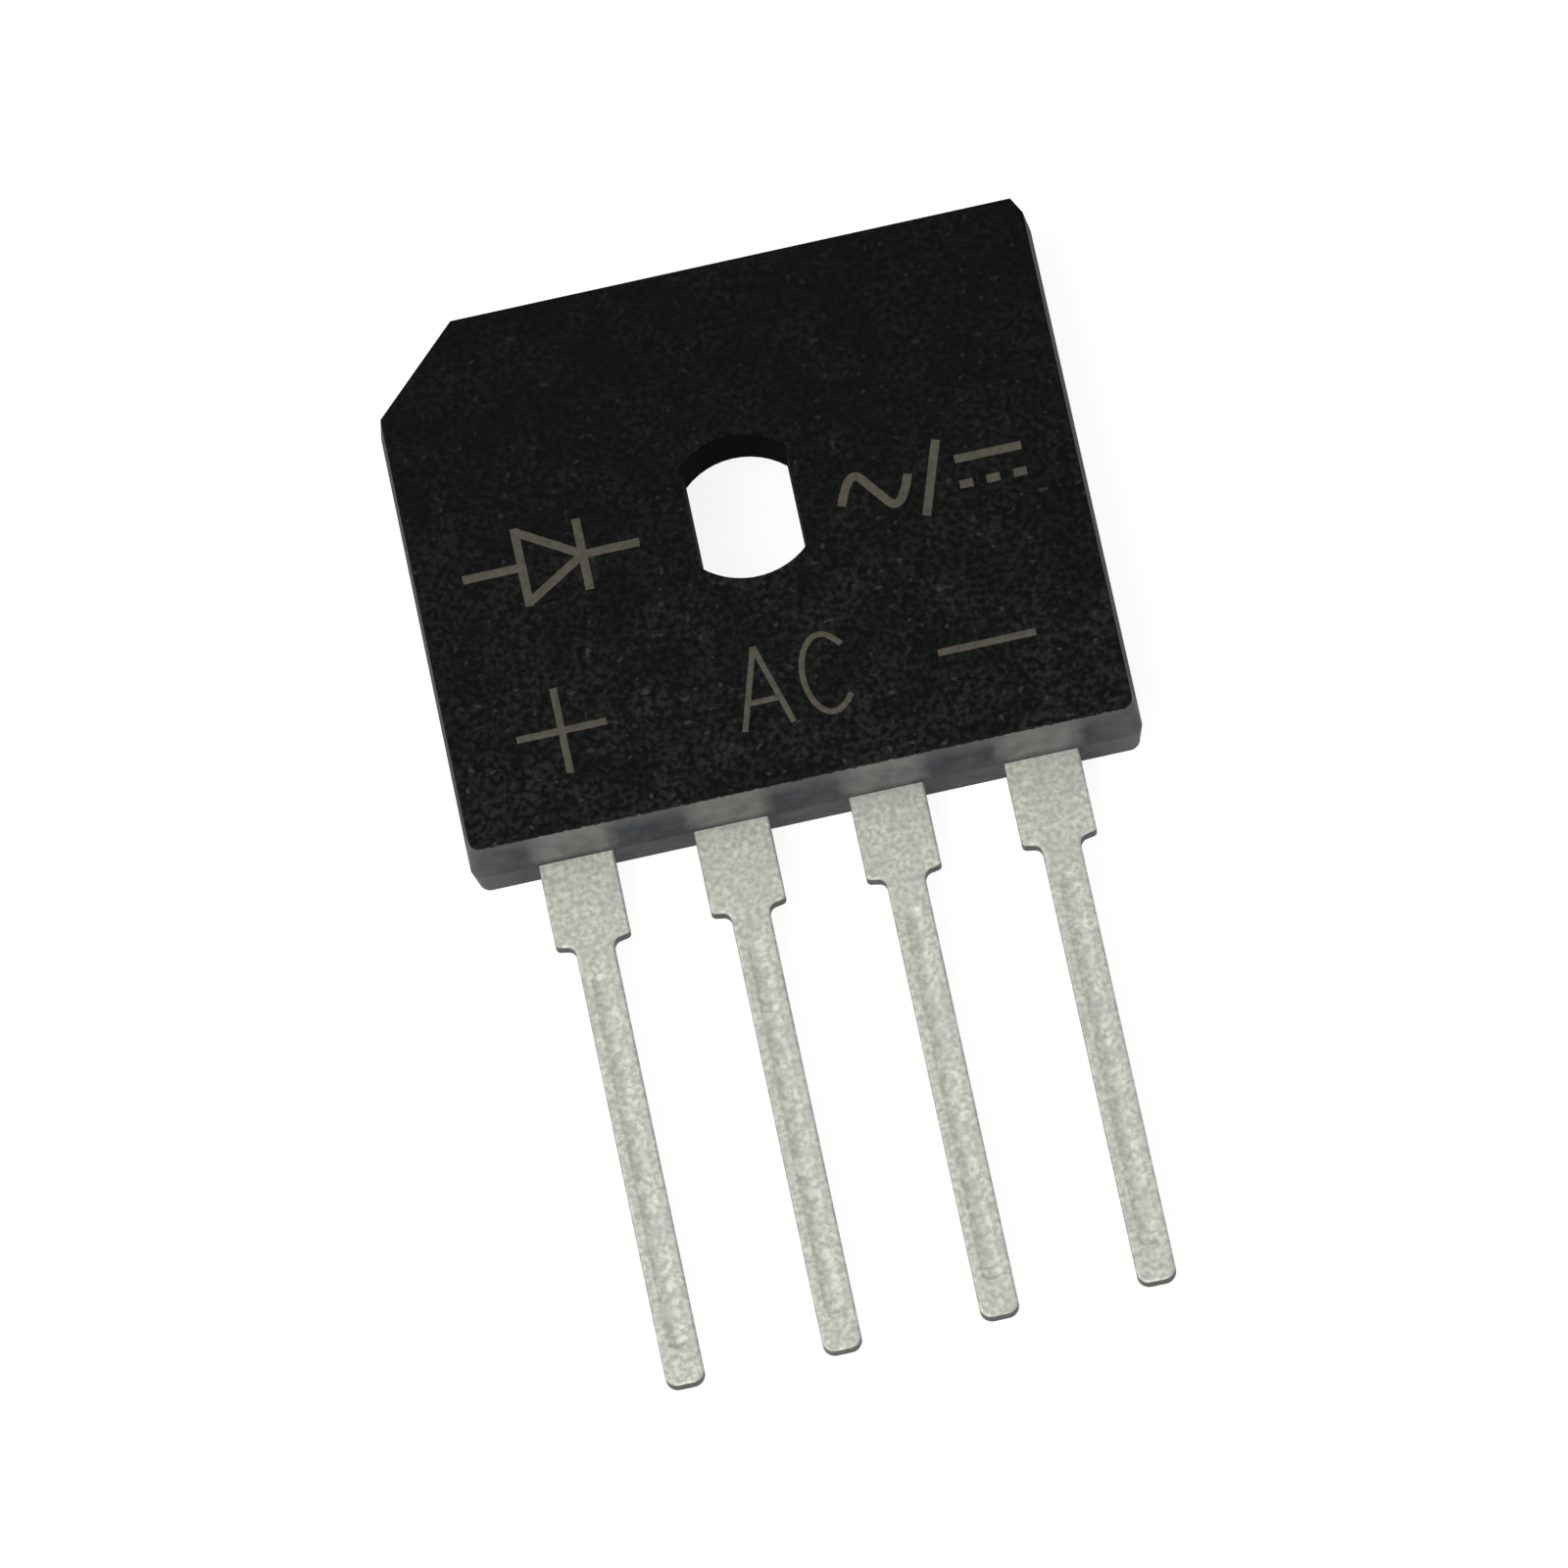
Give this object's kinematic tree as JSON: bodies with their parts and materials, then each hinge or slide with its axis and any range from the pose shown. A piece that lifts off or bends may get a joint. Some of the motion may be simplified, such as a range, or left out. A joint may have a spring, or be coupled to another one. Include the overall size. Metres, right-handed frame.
{
  "type": "bridge rectifier",
  "caption": "Flat single in-line bridge rectifier: moulded case with a screw slot and a cut corner, four tinned leads, and the diode bridge inside.",
  "frame": {"origin": "centre of the screw slot, on the flat back face that meets a heatsink", "axes": "+Z out of the marked face, +Y from the leads to the top of the case, +X along the width from the positive lead to the negative lead"},
  "size_m": [0.022, 0.0367, 0.0034],
  "materials": {
    "epoxy": "matte black moulded epoxy with a fine grain",
    "tinned_lead": "matte tin plating over copper",
    "clip_copper": "bare copper",
    "silicon": "metallised silicon die",
    "solder": "dull solder"
  },
  "bodies": {
    "root": {"moulded_case": "epoxy", "lead_positive": "tinned_lead", "lead_ac_left": "tinned_lead", "lead_ac_right": "tinned_lead", "lead_negative": "tinned_lead", "die_positive_left": "silicon", "die_positive_right": "silicon", "die_negative_left": "silicon", "die_negative_right": "silicon", "clip_ac_left": "clip_copper", "clip_ac_right": "clip_copper", "clip_negative": "clip_copper", "solder_under_positive_left": "solder", "solder_under_positive_right": "solder", "solder_under_negative_left": "solder", "solder_under_negative_right": "solder", "solder_over_positive_left": "solder", "solder_over_positive_right": "solder", "solder_over_negative_left": "solder", "solder_over_negative_right": "solder", "solder_foot_ac_left": "solder", "solder_foot_ac_right": "solder", "solder_foot_negative": "solder"}
  },
  "joints": []
}
